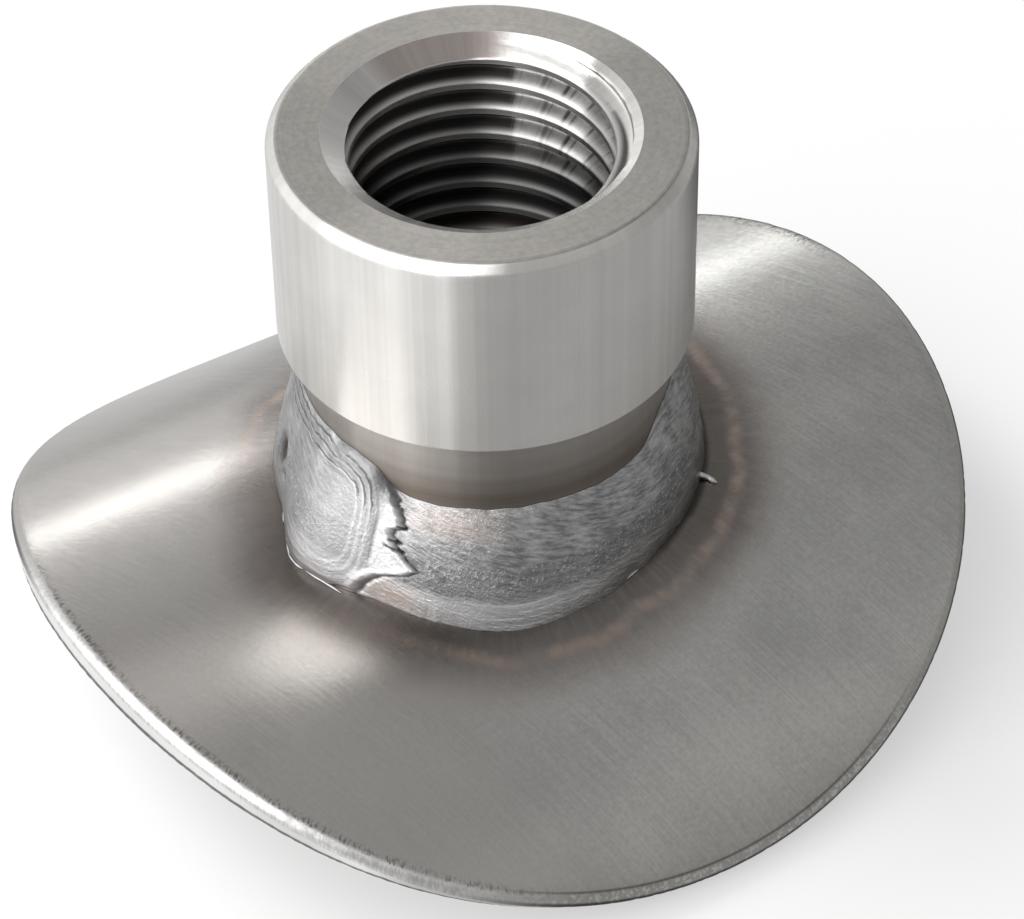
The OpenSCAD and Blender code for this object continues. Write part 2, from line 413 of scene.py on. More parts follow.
def sheet_steel(plate):
    """Satin sheet with rolling grain, a heat tint round the weld and a bright sheared edge, with painted
    shadow at the weld's toe and on the sheared edge's torn lower part, and a painted highlight and painted
    shade along the rim.
    """
    rim_r = plate.half_l / MM

    def dress(start):
        place, x, y, _ = in_mm(start)
        gap = measure(start, "toe_gap")
        edge = measure(start, "edge")
        shear = measure(start, "shear")
        under = measure(start, "under")
        along = x * math.cos(plate.grain) + y * math.sin(plate.grain)
        across = y * math.cos(plate.grain) - x * math.sin(plate.grain)
        grain = start.noise(start.vector(along * 0.03, across, 0.0), 0.11, 3.0, 0.6)
        broad = start.noise(start.vector(along * 0.12, across, 0.0), 0.9, 2.0)
        cloud = start.noise(place, 5.0, 3.0)
        mottle = start.noise(place, 1.1, 4.0, 0.6)
        grit = start.noise(place, 0.22, 2.0)
        left = (0 - x).between(3.0, 11.0)
        right = x.between(2.0, 8.0)
        r = start.math("SQRT", x * x + y * y)
        out_x, out_y = x / r, y / r
        clear = toward(out_x, out_y, 146).between(0.94, 0.995) * 0.8
        patchy = (mottle - 0.5) * 1.4 + (grit - 0.5) * 0.4
        reach = gap - 0.4 * right + clear + patchy * (1 - 0.65 * left) - (cloud - 0.5) * 1.0
        streaks = start.noise(start.vector(out_x * rim_r, out_y * rim_r, 0.15 * r), 0.5, 3.0, 0.6)
        steel = (0.35 * cloud + 0.35 * grain + 0.3 * grit).between(0.32, 0.68).tinted(
            toned(plate.steel, 0.84), toned(plate.steel, 1.14))
        steel = (left * (0.4 + 0.5 * cloud)).tinted(steel, plate.straw)
        straw = (1 - reach.between(2.6, 5.0)) * 0.7
        smoke = (1 - reach.between(1.5, 6.5)) * 0.18 * left
        brown = (1 - reach.between(1.2, 4.2)) * (0.3 + 0.4 * streaks + 0.5 * mottle + 0.12 * right)
        burnt = (1 - reach.between(0.2, 1.7)) * (0.5 * streaks + 0.6 * grit + 0.25 * right)
        sway = start.noise(start.vector(out_x * rim_r, out_y * rim_r, 0.0), 6.0, 3.0, 0.6)
        ring = (gap - 0.2 * right + (streaks - 0.5) * 0.4 + (sway - 0.5) * 1.8).near(1.55, 0.6)
        ring = ring * (0.1 + 0.6 * mottle.between(0.36, 0.6) + 0.4 * streaks.between(0.35, 0.6))
        ring = ring * (1 - 0.9 * (0 - x).between(7.5, 12.0))
        # Painted shadow in the gap at the weld's toe, strongest towards +X
        toe_shadow = (1 - gap.between(0.04, 0.42)) * (0.15 + 0.75 * x.between(1, 6))
        steel = straw.tinted(steel, plate.straw)
        steel = smoke.tinted(steel, plate.scorched)
        steel = brown.tinted(steel, plate.scorched)
        steel = burnt.tinted(steel, plate.burnt)
        steel = ring.tinted(steel, plate.ring)
        steel = toe_shadow.tinted(steel, toned(plate.burnt, 0.25))
        # Rim: a painted highlight, with worn texture, along the rolled edge towards -X, and painted shade as
        # thin dark lines elsewhere
        lit_rim = toward(out_x, out_y, -155).between(0.70, 0.90)
        low_side = toward(out_x, out_y, -90).between(0.78, 0.97) * (1 - lit_rim)
        ragged = toward(out_x, out_y, 31).between(0.9, 0.97)
        ticks = start.noise(start.vector(out_x * rim_r, out_y * rim_r, edge * 0.4), 0.12, 3.0, 0.6)
        rolled = (1 - edge.between(0.42, 0.6)) * (1 - under)
        fringe = edge.between(0.36, 0.5) * (1 - edge.between(0.6, 0.95)) * (lit_rim + 0.3 * low_side)
        fringe = fringe + 1.3 * ragged * (1 - edge.between(0.4, 1.4))
        fringe = fringe * ticks.between(0.46, 0.6) * (0.3 + 0.7 * mottle.between(0.35, 0.6))
        # Painted shade: a dark line at the rim's outer edge away from the painted highlight, and one along
        # the roll's inner edge on the low side
        outline = (1 - edge.between(0.07, 0.2)) * (1 - lit_rim)
        outline = outline.most(edge.near(0.62, 0.1) * low_side * 0.7)
        # Colour of the rim's painted highlight, uneven like worn metal
        worn = (0.6 * ticks + 0.4 * mottle).between(0.35, 0.6)
        worn = worn.tinted(toned(plate.sheared, 0.7), plate.sheared)
        steel = (rolled * lit_rim * 0.95).tinted(steel, worn)
        steel = (rolled * low_side * grit.between(0.5, 0.62) * 0.5).tinted(steel, plate.sheared)
        steel = (fringe * 0.85).tinted(steel, plate.burnt)
        steel = (outline * 0.9).tinted(steel, toned(plate.burnt, 0.3))
        cut = shear.between(0.02, 0.06)
        # The torn lower part of the sheared edge is painted dark, as painted shadow
        torn = shear.between(0.64, 0.8)
        steel = (cut * (0.85 + 0.3 * grit)).tinted(steel, plate.sheared)
        steel = (torn * (0.75 + 0.3 * grit)).tinted(steel, toned(plate.sheared, 0.15))
        steel = (under * 0.25).tinted(steel, plate.straw)
        rough = 0.235 - 0.02 * left + 0.1 * (grain - 0.4) + 0.07 * (cloud - 0.5) + 0.05 * (broad - 0.5)
        rough = rough + 0.08 * brown * (1 - 0.5 * left) + 0.12 * torn + 0.14 * rolled
        normal = start.relief(grain, 0.0022 * MM)
        normal = start.relief(grit, 0.003 * MM, normal)
        normal = start.relief(ticks * rolled, 0.006 * MM, normal)
        return {"Base Color": steel, "Roughness": rough, "Normal": normal}

    return steel_finish("sheet_steel", dress)


def weld_metal(weld):
    """Weld metal: a silvery lap, a darker streaked start, warm spots beside the lap, painted shade in cracks,
    creases, pits and at the toe, and painted glints and highlights.
    """

    def dress(start):
        place = in_mm(start)[0]
        along = measure(start, "along")
        across = measure(start, "across")
        lap = measure(start, "lap")
        crack = measure(start, "crack")
        ripple = measure(start, "ripple")
        nest = measure(start, "nest")
        drawn = start.vector(along * 0.3, across * 8 - along * 0.35, 0.0)
        streaks = start.noise(drawn, 0.26, 4.0, 0.7)
        grit = start.noise(place, 0.16, 3.0, 0.6)
        cloud = start.noise(place, 1.6, 3.0)
        band = across.between(0.44, 0.52) * (1 - across.between(0.68, 0.78))
        low = across.between(0.72, 0.82)
        beside = 1 - abs(along).between(1.0, 5.5)
        far_toe = abs(along).between(8.0, 12.0)
        toe_lines = start.noise(start.vector(along * 0.1, across * 26, 0.0), 0.8, 2.0).between(0.5, 0.62)
        dull = (0.7 * streaks + 0.3 * cloud).between(0.33, 0.67).tinted(
            toned(weld.dull, 0.5), toned(weld.dull, 1.45))
        dull = (band * (0.2 + 0.6 * grit)).tinted(dull, toned(weld.dull, 0.5))
        # Painted glints: bright specks in the rough band
        dull = (band * grit.between(0.56, 0.66) * 0.75).tinted(dull, weld.bright)
        # Painted highlights: the lower band lighter, with a bright patch and bright lines near the toe
        dull = (low * (0.5 + 0.5 * streaks) * (1 - 0.6 * far_toe)).tinted(dull, toned(weld.dull, 1.6))
        dull = (low * along.near(2.8, 5.0) * 0.6).tinted(dull, toned(weld.bright, 1.2))
        dull = (low * toe_lines * (1 - far_toe)).tinted(dull, toned(weld.bright, 1.35))
        dull = (low * far_toe * 0.25).tinted(dull, weld.stain)
        spot = 0.7 * along.near(3.2, 4.4) * across.near(0.14, 0.22)
        spot = spot + along.near(0.6, 2.2) * across.near(0.9, 0.2)
        dull = (spot * (0.55 + 0.5 * cloud)).tinted(dull, weld.warm)
        bright = (0.3 * cloud + 0.4 * ripple + 0.3 * grit).between(0.2, 0.7).tinted(
            toned(weld.bright, 0.72), toned(weld.bright, 1.12))
        bright = across.between(0.05, 0.28).tinted(toned(weld.bright, 0.4), bright)
        # Painted highlight: the upper end of the lap's tongue made lighter
        tongue = nest.between(1.0, 1.12) * across.between(0.05, 0.2)
        bright = tongue.tinted(bright, toned(weld.bright, 1.25))
        lapped = lap * (0.35 + 0.65 * beside)
        metal = lapped.tinted(dull, bright)
        # Narrow creases between the ripples of the lap, painted dark as painted shade
        phase = nest * (LAP_HALF * MM / weld.ripple_step) + (start.noise(place, 0.6, 3.0) - 0.5) * 0.7
        creases = (1 - 2 * abs(start.math("FRACT", phase) - 0.5)).between(0.6, 1.0)
        creases = creases * nest.between(0.58, 0.72) * (1 - nest.between(1.0, 1.05)) * lap
        creases = creases * (1 - 0.8 * across.between(0.2, 0.36)) * cloud.between(0.3, 0.55)
        metal = (creases * 0.6).tinted(metal, weld.crevice_shade)
        # Painted shade: dark lines low on the lap, in the cracks and along the toe
        metal = (lap * across.between(0.84, 0.92) * toe_lines * 0.45).tinted(metal, weld.crevice_shade)
        metal = (crack * 0.9).tinted(metal, weld.crevice_shade)
        toe = across.between(0.98, 1.0) * 0.4
        metal = toe.tinted(metal, weld.crevice_shade)
        rough = 0.43 + 0.03 * lap + 0.12 * (grit - 0.5) + 0.1 * band - 0.08 * low + 0.1 * crack
        normal = start.relief(streaks * (1 - 0.6 * lap), 0.045 * MM)
        normal = start.relief(0 - creases, 0.03 * MM, normal)
        normal = start.relief(grit * (1 + 1.2 * band), 0.026 * MM, normal)
        return {"Base Color": metal, "Roughness": rough, "Normal": normal}

    return steel_finish("weld_metal", dress)


def even_noise(seed, *axes):
    """Smooth noise from -1 to 1 on a lattice of unit cells, the same on each run."""
    axes = np.broadcast_arrays(*axes)
    cells = [np.floor(axis).astype(np.int64) for axis in axes]
    parts = [axis - cell for axis, cell in zip(axes, cells)]
    parts = [part * part * (3 - 2 * part) for part in parts]
    total = np.zeros(axes[0].shape)
    for corner in np.ndindex(*(2,) * len(axes)):
        key = np.full(axes[0].shape, seed * 7919 + 17, np.int64)
        weight = np.ones(axes[0].shape)
        for step, cell, part in zip(corner, cells, parts):
            key = (key * 1103515245 + (cell + step) * 12345 + 54321) % 2147483647
            key = (key ^ (key >> 13)) * 60493 % 2147483647
            weight = weight * (part if step else 1 - part)
        total += weight * ((key % 65536) / 32767.5 - 1)
    return total


def turn_to(a, b):
    """Angle from b to a in degrees, from -180 to 180."""
    return (a - b + 900) % 360 - 180


def hill(a, centre, spread):
    """Smooth hill round one direction."""
    return bell(turn_to(a, centre), 0, spread)


def bell(value, centre, spread):
    """Smooth hill round one value."""
    return np.exp(-((value - centre) / spread) ** 2)


def falls(value, soft):
    """1 well below 0, 0 well above it and a soft step between."""
    return 1 / (1 + np.exp(np.clip(value / soft, -60, 60)))


def span(value, rise, fall):
    """1 over a stretch of values, with a smooth rise before it and a smooth fall after it."""
    return rise_over(value, *rise) * (1 - rise_over(value, *fall))


def rise_over(value, low, high):
    """0 below low, 1 above high and a smooth rise from one to the other."""
    part = np.clip((value - low) / (high - low), 0, 1)
    return part * part * (3 - 2 * part)


def weld_toe(weld, neck_r, a):
    """Radius of the weld's toe on the plate in one direction, in degrees."""
    start, lap = math.degrees(weld.start_az), math.degrees(weld.lap_az)
    return (neck_r + weld.run + weld.lap_run * hill(a, lap, LAP_SPREAD)
            + weld.start_run * hill(a, (start + lap) / 2, START_SPREAD)
            + 0.3 * MM * hill(a, start - 8, 11) - 0.4 * MM * hill(a, start + 38, 20))


def toe_wave(weld, a):
    """Small waves of the weld's toe."""
    return 0.05 * MM * even_noise(weld.seed, a * 0.16) + 0.015 * MM * even_noise(weld.seed + 1, a * 0.6)


def ring_faces(rings, count):
    """Quads between neighbouring closed rings of points, back to the first ring."""
    i = np.arange(rings)[:, None] * count
    n = (np.arange(rings)[:, None] + 1) % rings * count
    j = np.arange(count)[None, :]
    k = (j + 1) % count
    return np.stack([i + j, n + j, n + k, i + k], -1).reshape(-1, 4).tolist()


def eased(outline, reaches, steps=5):
    """Outline with each corner eased by a short curve that starts that far from it."""
    points = []
    for i, (corner, reach) in enumerate(zip(outline, reaches)):
        corner = np.array(corner)
        if not reach:
            points.append(corner)
            continue
        before, after = (np.array(outline[i + step]) - corner for step in (-1, 1))
        before, after = (reach * way / np.linalg.norm(way) for way in (before, after))
        points.append(corner + 1.5 * before)
        points.extend(corner + before * (1 - t) ** 2 + after * t ** 2 for t in np.linspace(0, 1, steps + 1))
        points.append(corner + 1.5 * after)
    return points


def mesh_piece(name, points, faces, measures=None):
    """Object at the origin with a mesh of those points and faces, and what each point carries."""
    mesh = bpy.data.meshes.new(name)
    mesh.from_pydata(np.asarray(points).reshape(-1, 3).tolist(), [], faces)
    for label, values in (measures or {}).items():
        store = mesh.attributes.new(label, "FLOAT", "POINT")
        store.data.foreach_set("value", np.asarray(values, np.float32).ravel())
    piece = bpy.data.objects.new(name, mesh)
    bpy.context.scene.collection.objects.link(piece)
    return piece


def grow(piece, tree, values):
    """Runs a Geometry Nodes tree on a piece, and keeps the result as its plain mesh."""
    modifier = piece.modifiers.new(tree.name, "NODES")
    modifier.node_group = tree
    sockets = {item.name: item.identifier for item in tree.interface.items_tree if item.in_out == "INPUT"}
    for name, value in values.items():
        modifier[sockets[name]] = value
    bpy.context.view_layer.update()
    grown = piece.evaluated_get(bpy.context.evaluated_depsgraph_get())
    mesh = bpy.data.meshes.new_from_object(grown)
    piece.modifiers.clear()
    old = piece.data
    piece.data = mesh
    bpy.data.meshes.remove(old)
    mesh.name = piece.name
    return piece


def close_up(piece, crease):
    """Turns the faces outwards, smooths them and keeps the edges sharper than the crease."""
    work = bmesh.new()
    work.from_mesh(piece.data)
    bmesh.ops.recalc_face_normals(work, faces=work.faces)
    loose = [edge for edge in work.edges if not edge.is_manifold]
    work.to_mesh(piece.data)
    work.free()
    if loose:
        raise RuntimeError(f"{piece.name} has {len(loose)} open edges")
    piece.data.shade_smooth()
    piece.data.set_sharp_from_angle(angle=math.radians(crease))


def settle(piece, node, material):
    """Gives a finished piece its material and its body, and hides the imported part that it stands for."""
    piece.data.materials.clear()
    piece.data.materials.append(material)
    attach(piece, "root")
    if node:
        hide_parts(node)


def new_tree(name, inputs):
    """Empty Geometry Nodes tree with a geometry input, the named inputs and a geometry output."""
    tree = bpy.data.node_groups.new(name, "GeometryNodeTree")
    tree.interface.new_socket("Geometry", in_out="INPUT", socket_type="NodeSocketGeometry")
    for label, kind in inputs.items():
        tree.interface.new_socket(label, in_out="INPUT", socket_type="NodeSocket" + kind)
    tree.interface.new_socket("Geometry", in_out="OUTPUT", socket_type="NodeSocketGeometry")
    source = Wire(tree).make("NodeGroupInput")
    return tree, source


def end_tree(source, geometry):
    """Last nodes of a tree: its instances made real, and its material set."""
    geometry = source.make("GeometryNodeRealizeInstances", None, {0: geometry})
    material = source.also("Material")
    geometry = source.make("GeometryNodeSetMaterial", None, {0: geometry, "Material": material})
    source.make("NodeGroupOutput", None, {0: geometry})


def thread_tree():
    """Tree that lines a turned shell with a right-hand internal thread, cut by its two end cones."""
    tree, source = new_tree("thread", {
        "Columns": "Int", "Rows a turn": "Int", "Rows": "Int", "Bore": "Float", "Root": "Float",
        "Pitch": "Float", "Low": "Float", "High": "Float", "Sink slope": "Float", "Sink radius": "Float",
        "End bevel": "Float", "Material": "Material"})
    columns, turn_rows, rows = (source.also(n) for n in ("Columns", "Rows a turn", "Rows"))
    grid = source.make("GeometryNodeMeshGrid", None, {
        "Size X": 1.0, "Size Y": 1.0, "Vertices X": columns + 1, "Vertices Y": rows + 1})
    place = source.make("GeometryNodeInputPosition")
    turn = source.make("ShaderNodeSeparateXYZ", None, {0: place}, "X")
    row = (turn.also("Y") + 0.5) * rows / turn_rows
    turn = turn + 0.5
    pitch, bore, low, high = (source.also(n) for n in ("Pitch", "Bore", "Low", "High"))
    z = (low + (row + turn - 1) * pitch).most(low).least(high)
    # Share of the pitch from the middle of a crest: half a crest, then a rounded flank, then half a root
    half_crest, half_root = 1 / 12, 1 / 16
    away = abs(source.math("FRACT", row) - 0.5)
    groove = ((away - half_crest) / (1 / 2 - half_crest - half_root)).most(0.0).least(1.0)
    groove = groove * groove * (3 - 2 * groove)
    fade = ((z - low) / source.also("End bevel")).most(0.0).least(1.0)
    wall = bore + (source.also("Root") - bore) * groove * fade
    sink = source.also("Sink radius") - (high - z) * source.also("Sink slope")
    end = bore + source.also("End bevel") - (z - low)
    soft = 0.12 * MM
    r = source.math("SMOOTH_MAX", source.math("SMOOTH_MAX", wall, sink, soft), end, soft)
    angle_round = turn * (2 * math.pi)
    grid = source.make("GeometryNodeSetPosition", None, {0: grid, "Position": source.vector(
        r * source.math("COSINE", angle_round), r * source.math("SINE", angle_round), z)})
    joined = source.make("GeometryNodeJoinGeometry", None, {0: source})
    tree.links.new(grid.socket, joined.socket.node.inputs[0])
    whole = source.make("GeometryNodeMergeByDistance", None, {0: joined, "Distance": 2e-6})
    end_tree(source, whole)
    return tree


def bend_tree():
    """Tree that bends a flat blank round the pipe's axis: x stays, y goes round and z is the radius."""
    tree, source = new_tree("bend", {
        "Pipe radius": "Float", "Sheet": "Float", "Crest": "Float", "Material": "Material"})
    place = source.make("GeometryNodeInputPosition")
    x = source.make("ShaderNodeSeparateXYZ", None, {0: place}, "X")
    pipe, sheet = source.also("Pipe radius"), source.also("Sheet")
    turn = x.also("Y") / (pipe + sheet * 0.5)
    rho = pipe + x.also("Z")
    axis = source.also("Crest") - pipe - sheet
    bent = source.make("GeometryNodeSetPosition", None, {0: source, "Position": source.vector(
        x, rho * source.math("SINE", turn), axis + rho * source.math("COSINE", turn))})
    end_tree(source, bent)
    return tree


def spatter_tree():
    """Tree that makes strands along edges, and drops at loose points, each as thick as its point says."""
    tree, source = new_tree("spatter", {
        "Sides": "Int", "Seed": "Int", "Material": "Material"})
    girth = source.make("GeometryNodeInputNamedAttribute", {"data_type": "FLOAT"}, {"Name": "girth"})
    drop = source.make("GeometryNodeInputNamedAttribute", {"data_type": "FLOAT"}, {"Name": "drop"})
    ring = source.make("GeometryNodeCurvePrimitiveCircle", {"mode": "RADIUS"},
                       {"Resolution": source.also("Sides"), "Radius": 1.0})
    lines = source.make("GeometryNodeMeshToCurve", None, {0: source})
    lines = source.make("GeometryNodeCurveSplineType", {"spline_type": "CATMULL_ROM"}, {0: lines})
    lines = source.make("GeometryNodeResampleCurve", None, {0: lines, "Count": 20})
    strands = source.make("GeometryNodeCurveToMesh", None, {
        "Curve": lines, "Profile Curve": ring, "Scale": girth, "Fill Caps": True})
    ball = source.make("GeometryNodeMeshIcoSphere", None, {"Radius": 1.0, "Subdivisions": 2})
    turn = source.make("FunctionNodeRandomValue", {"data_type": "FLOAT_VECTOR"}, {
        "Min": (0, 0, 0), "Max": (6.28, 6.28, 6.28), "Seed": source.also("Seed")})
    size = source.vector(girth, girth * 1.25, girth * 0.7)
    drops = source.make("GeometryNodeInstanceOnPoints", None, {
        "Points": source, "Selection": drop, "Instance": ball, "Rotation": turn, "Scale": size})
    joined = source.make("GeometryNodeJoinGeometry", None, {0: strands})
    tree.links.new(drops.socket, joined.socket.node.inputs[0])
    end_tree(source, joined)
    return tree


def studio_way(ahead, aside, azimuth, level=1.0, height=0.0):
    """Direction in the studio: azimuth 0 lies straight behind the object, and right is positive."""
    turn = math.radians(azimuth)
    return (ahead * math.cos(turn) + aside * math.sin(turn)) * level + Vector((0, 0, height))


class BUNG_OT_boss(bpy.types.Operator):
    """Make the turned boss with its thread"""

    bl_idname = "bung.boss"
    bl_label = "Turned boss"

    def execute(self, context):
        boss = context.scene.bung_boss
        head, neck, top, low, shoulder = boss.head_r, boss.neck_r, boss.top_z, boss.low_z, boss.shoulder_z
        soft = 0.08 * MM
        bevel, edge = boss.top_bevel, boss.low_bevel
        outline = [
            (boss.sink_r, top), (boss.sink_r + soft, top), (head - bevel, top), (head, top - bevel),
            (head, shoulder + edge), (head - edge, shoulder), (neck, shoulder), (neck, low),
            (boss.bore_r + boss.end_bevel, low)]
        reaches = [0, 0, bevel / 3, bevel / 3, edge / 3, edge / 3, soft, soft, 0]
        outline = eased(outline, reaches)
        turn = np.arange(boss.columns) * 2 * math.pi / boss.columns
        rings = [np.column_stack([r * np.cos(turn), r * np.sin(turn), np.full_like(turn, z)])
                 for r, z in outline]
        faces = ring_faces(len(rings), boss.columns)[: (len(rings) - 1) * boss.columns]
        piece = mesh_piece("turned_boss", rings, faces)
        material = turned_steel(boss)
        grow(piece, thread_tree(), {
            "Columns": boss.columns, "Rows a turn": boss.rows,
            "Rows": math.ceil((top - low) / boss.pitch + 1) * boss.rows,
            "Bore": boss.bore_r, "Root": boss.root_r, "Pitch": boss.pitch, "Low": low, "High": top,
            "Sink slope": math.tan(boss.sink_half), "Sink radius": boss.sink_r, "End bevel": boss.end_bevel,
            "Material": material})
        close_up(piece, crease=28)
        settle(piece, "threaded_boss", material)
        return {"FINISHED"}


class BUNG_OT_plate(bpy.types.Operator):
    """Make the bent saddle plate with its sheared edge"""

    bl_idname = "bung.plate"
    bl_label = "Saddle plate"

    def execute(self, context):
        scene = context.scene
        plate, weld, neck_r = scene.bung_plate, scene.bung_weld, scene.bung_boss.neck_r
        count, sheet = RIM_STEPS, plate.sheet_t
        turn = np.arange(count) * 2 * math.pi / count
        mid = plate.pipe_r + sheet / 2

        def hole(rho):
            """Flat place of the hole's edge, which is round when seen along the boss."""
            return np.stack([plate.hole_r * np.cos(turn),
                             mid * np.arcsin(plate.hole_r * np.sin(turn) / rho)], -1)

        def rim(inset):
            """Flat place of the blank's outline, some way in from its edge."""
            return np.stack([(plate.half_l - inset) * np.cos(turn),
                             (plate.half_w - inset) * np.sin(turn)], -1)

        uneven = even_noise(RIM_SEED, turn * 60) * 0.5 + even_noise(RIM_SEED + 1, turn * 170) * 0.5
        nicks = plate.nick * np.clip(even_noise(RIM_SEED + 2, turn * 95) - 0.35, 0, 1)
        roll_w = plate.roll_w * (0.95 + 0.14 * uneven)
        points, gaps, edges, shears, unders = [], [], [], [], []
        border = rim(0)

        def ring(flat, height, shear=0.0, under=0.0):
            """Adds a closed ring of points at a height over the pipe, with what its points carry."""
            points.append(np.column_stack([flat, np.broadcast_to(height, count)]))
            x, y = flat[:, 0], (plate.pipe_r + sheet) * np.sin(flat[:, 1] / mid)
            direction = np.degrees(np.arctan2(y, x))
            toe = weld_toe(weld, neck_r, direction) + toe_wave(weld, direction)
            gaps.append((np.hypot(x, y) - toe) / MM + 40 * under)
            edges.append(np.hypot(*(border - flat).T) / MM)
            for store, value in ((shears, shear), (unders, under)):
                store.append(np.full(count, value))

        # Upper face, from the hole outwards
        inner, outer = hole(plate.pipe_r + sheet), rim(roll_w + 0.05 * MM)
        for part in np.concatenate([np.linspace(0, 0.5, 24), np.linspace(0.5, 1, 16)[1:]]):
            ring(inner + (outer - inner) * part, sheet)
        # Rolled upper edge
        for step in range(1, ROLL_STEPS + 1):
            bend = step / ROLL_STEPS * math.pi / 2
            inset = roll_w * (1 - math.sin(bend)) + nicks
            ring(rim(inset), sheet - plate.roll_d * (1 - math.cos(bend)))
        # Sheared edge, torn in its lower part
        for step in range(1, SHEAR_STEPS + 1):
            part = step / SHEAR_STEPS
            torn = 0.04 * MM * rise_over(part, 0.5, 0.8)
            rough = np.abs(even_noise(RIM_SEED + 9 + step, turn * 140)) * rise_over(part, 0.4, 0.7)
            inset = nicks * (1 - part) + torn + 0.03 * MM * rough
            ring(rim(inset), (sheet - plate.roll_d) * (1 - part), shear=max(part, 0.1))
        # Lower edge and lower face, back to the hole
        ring(rim(0.12 * MM), 0.0, shear=1.0, under=0.5)
        base, edge = hole(plate.pipe_r), rim(0.3 * MM)
        for part in np.linspace(0, 1, 14):
            ring(edge + (base - edge) * part, 0.0, under=1.0)
        faces = ring_faces(len(points), count)
        piece = mesh_piece("bent_plate", points, faces, {
            "toe_gap": gaps, "edge": edges, "shear": shears, "under": unders})
        material = sheet_steel(plate)
        grow(piece, bend_tree(), {
            "Pipe radius": plate.pipe_r, "Sheet": sheet, "Crest": plate.crest_z, "Material": material})
        close_up(piece, crease=40)
        settle(piece, "saddle_plate", material)
        return {"FINISHED"}


class BUNG_OT_weld(bpy.types.Operator):
    """Make the fillet weld with its ripples and the lap over its own start"""

    bl_idname = "bung.weld"
    bl_label = "Fillet weld"

    def execute(self, context):
        scene = context.scene
        weld, plate, neck_r = scene.bung_weld, scene.bung_plate, scene.bung_boss.neck_r
        count, rows, foot = weld.columns, weld.rows, 4
        out_r = plate.pipe_r + plate.sheet_t + FOOT_GAP
        axis_z = plate.crest_z - plate.pipe_r - plate.sheet_t
        start, lap_az, end_az = (math.degrees(v) for v in (weld.start_az, weld.lap_az, weld.end_az))
        k, a = np.meshgrid(np.linspace(0, 1, rows + 1), np.arange(count) * 360 / count, indexing="ij")

        def sheet_z(r):
            """Height of the sheet's upper face at that radius, in each direction."""
            return axis_z + np.sqrt(out_r ** 2 - (r * np.sin(np.radians(a))) ** 2)

        # Where the lap ends, up the face: degrees from its end, as a ragged line
        ragged = np.interp(k, [0, .12, .2, .26, .32, .45, .52, .6, .66, .74, .88, 1],
                           [-1, 1, 2.5, 4, .5, 2.5, 5.5, 8.5, 6.5, .5, -4, -6.5])
        ragged = ragged + 0.6 * even_noise(weld.seed + 2, k * 30)
        turn = turn_to(a, end_az)
        past = turn - ragged
        lapped = falls(past, 0.3) * rise_over(turn, -175, -120)
        lap_high = np.where(turn_to(a, lap_az) > 0, 1.0, hill(a, lap_az, 2 * LAP_SPREAD)) * lapped
        drop = falls(np.abs(turn_to(a, start)) - START_HALF, START_SOFT)
        waves = 0.06 * even_noise(weld.seed + 3, a * 0.2) + 0.25 * hill(a, 150, 28)
        top = plate.crest_z + weld.rise - weld.start_drop * drop + MM * waves
        toe = weld_toe(weld, neck_r, a)
        bore = neck_r + BORE_GAP
        rise, run = top - sheet_z(toe), toe - bore
        slope = np.arctan2(run, rise)
        along = turn * math.pi / 180 * FACE_R
        open_edge = np.clip(np.minimum(k, 1 - k) / 0.05, 0, 1)
        slab = 1 - np.abs(2 * k - 1) ** 8

        # Ripples of the lap lie inside each other, round its end; behind, they bow forward along the run
        wander = 0.04 * even_noise(weld.seed + 4, along * 0.6, k * 4)
        reach = np.maximum(along + LAP_HALF + 0.8, 0) / LAP_HALF
        nest = ((np.abs(2 * k - 1) / 0.96) ** 4 + reach ** 4) ** 0.25 + wander
        fine = np.sin(2 * math.pi * nest * LAP_HALF * MM / weld.ripple_step) * 0.5 + 0.5
        edge = 0.1 + 0.9 * rise_over(nest, 0.62, 0.74)
        bow = along + 1.6 * (1 - (2 * k - 1) ** 2) + 4 * wander
        broad = np.sin(2 * math.pi * bow / 1.25) * 0.5 + 0.5
        at_lap = lapped * rise_over(turn, -110, -75) * (1 - rise_over(nest, 1.0, 1.05))
        far = np.clip(rise_over(turn, 95, 130) + rise_over(-turn, 75, 110), 0, 1)
        ripple = fine ** 1.3 * at_lap * edge + broad ** 1.3 * far * (1 - at_lap)
        thin = 1 - 0.4 * rise_over(k, 0.6, 0.8) * rise_over(turn, -22, -8)
        lap_high = lap_high * thin * (0.8 + 0.2 * rise_over(turn, -14, -1))
        hollow = 0.8 * lap_high + 1.5 * hill(a, 120, 28)
        lift = weld.crown * 4 * k * (1 - k) * (1 - hollow) + 0.9 * weld.lap_rise * lap_high * slab
        worn = at_lap * (0.5 + 0.42 * rise_over(k, 0.18, 0.36))
        lift = lift + weld.ripple * ripple * open_edge * (1 - worn)
        fold = bell(nest, 1.06, 0.04) * lapped * span(k, (0.25, 0.35), (0.62, 0.72))

        # Blunt lip at the end of the lap, the crease under it, three cracks, a pit and a smaller one
        lip = bell(past, -1.8, 1.3) * lapped
        crease = bell(past, 0.7, 0.5)
        cracks = sum(bell(k, at, 0.012) * span(turn, (low, low + 0.6), (high, high + 0.6))
                     for at, low, high in ((0.41, 0.2, 4.0), (0.475, -0.6, 5.0), (0.27, 2.0, 4.5)))
        pit_a = turn + 47 + 1.5 * even_noise(weld.seed + 5, k * 9)
        pit_at = np.hypot(pit_a / 3, (k - 0.6) / 0.12)
        pit = bell(pit_at, 0, 1) + 0.5 * bell(turn, -41, 1.5) * bell(k, 0.72, 0.035)
        pit_rim = bell(pit_at, 1.5, 0.45)
        lift = lift + MM * open_edge * (0.07 * lip - 0.04 * fold - 0.09 * crease - 0.14 * cracks
                                        - 0.3 * pit + 0.05 * pit_rim)

